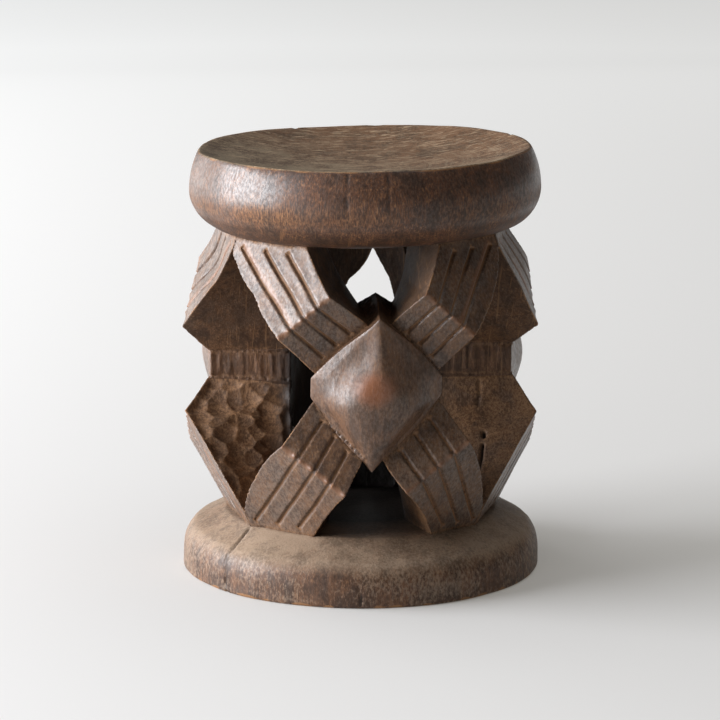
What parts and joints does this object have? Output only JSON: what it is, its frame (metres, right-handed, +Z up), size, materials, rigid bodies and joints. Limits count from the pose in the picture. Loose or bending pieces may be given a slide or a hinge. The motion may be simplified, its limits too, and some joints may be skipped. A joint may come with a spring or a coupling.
{
  "type": "carved wooden stool",
  "caption": "Low round stool carved from dark wood: a dished seat and a thick base joined by an openwork cage of X-shaped figures with diamond bosses and grooved, bent legs.",
  "frame": {"origin": "centre of the base's flat underside, on the floor", "axes": "+Z up along the stool's axis, -Y towards the front figure, +X to the right of someone who faces it"},
  "size_m": [0.338, 0.338, 0.4022],
  "materials": {
    "seat_wood": "dark brown, polished by use",
    "base_wood": "dark brown, dull, worn pale at the edges",
    "boss_wood": "dark brown, polished by use",
    "leg_wood": "grey brown, satin"
  },
  "bodies": {
    "root": {"seat": "seat_wood", "base": "base_wood", "front_boss": "boss_wood", "rear_right_boss": "boss_wood", "rear_left_boss": "boss_wood", "front_upper_right_leg": "leg_wood", "front_upper_left_leg": "leg_wood", "front_lower_right_leg": "leg_wood", "front_lower_left_leg": "leg_wood", "rear_right_upper_right_leg": "leg_wood", "rear_right_upper_left_leg": "leg_wood", "rear_right_lower_right_leg": "leg_wood", "rear_right_lower_left_leg": "leg_wood", "rear_left_upper_right_leg": "leg_wood", "rear_left_upper_left_leg": "leg_wood", "rear_left_lower_right_leg": "leg_wood", "rear_left_lower_left_leg": "leg_wood"}
  },
  "joints": []
}
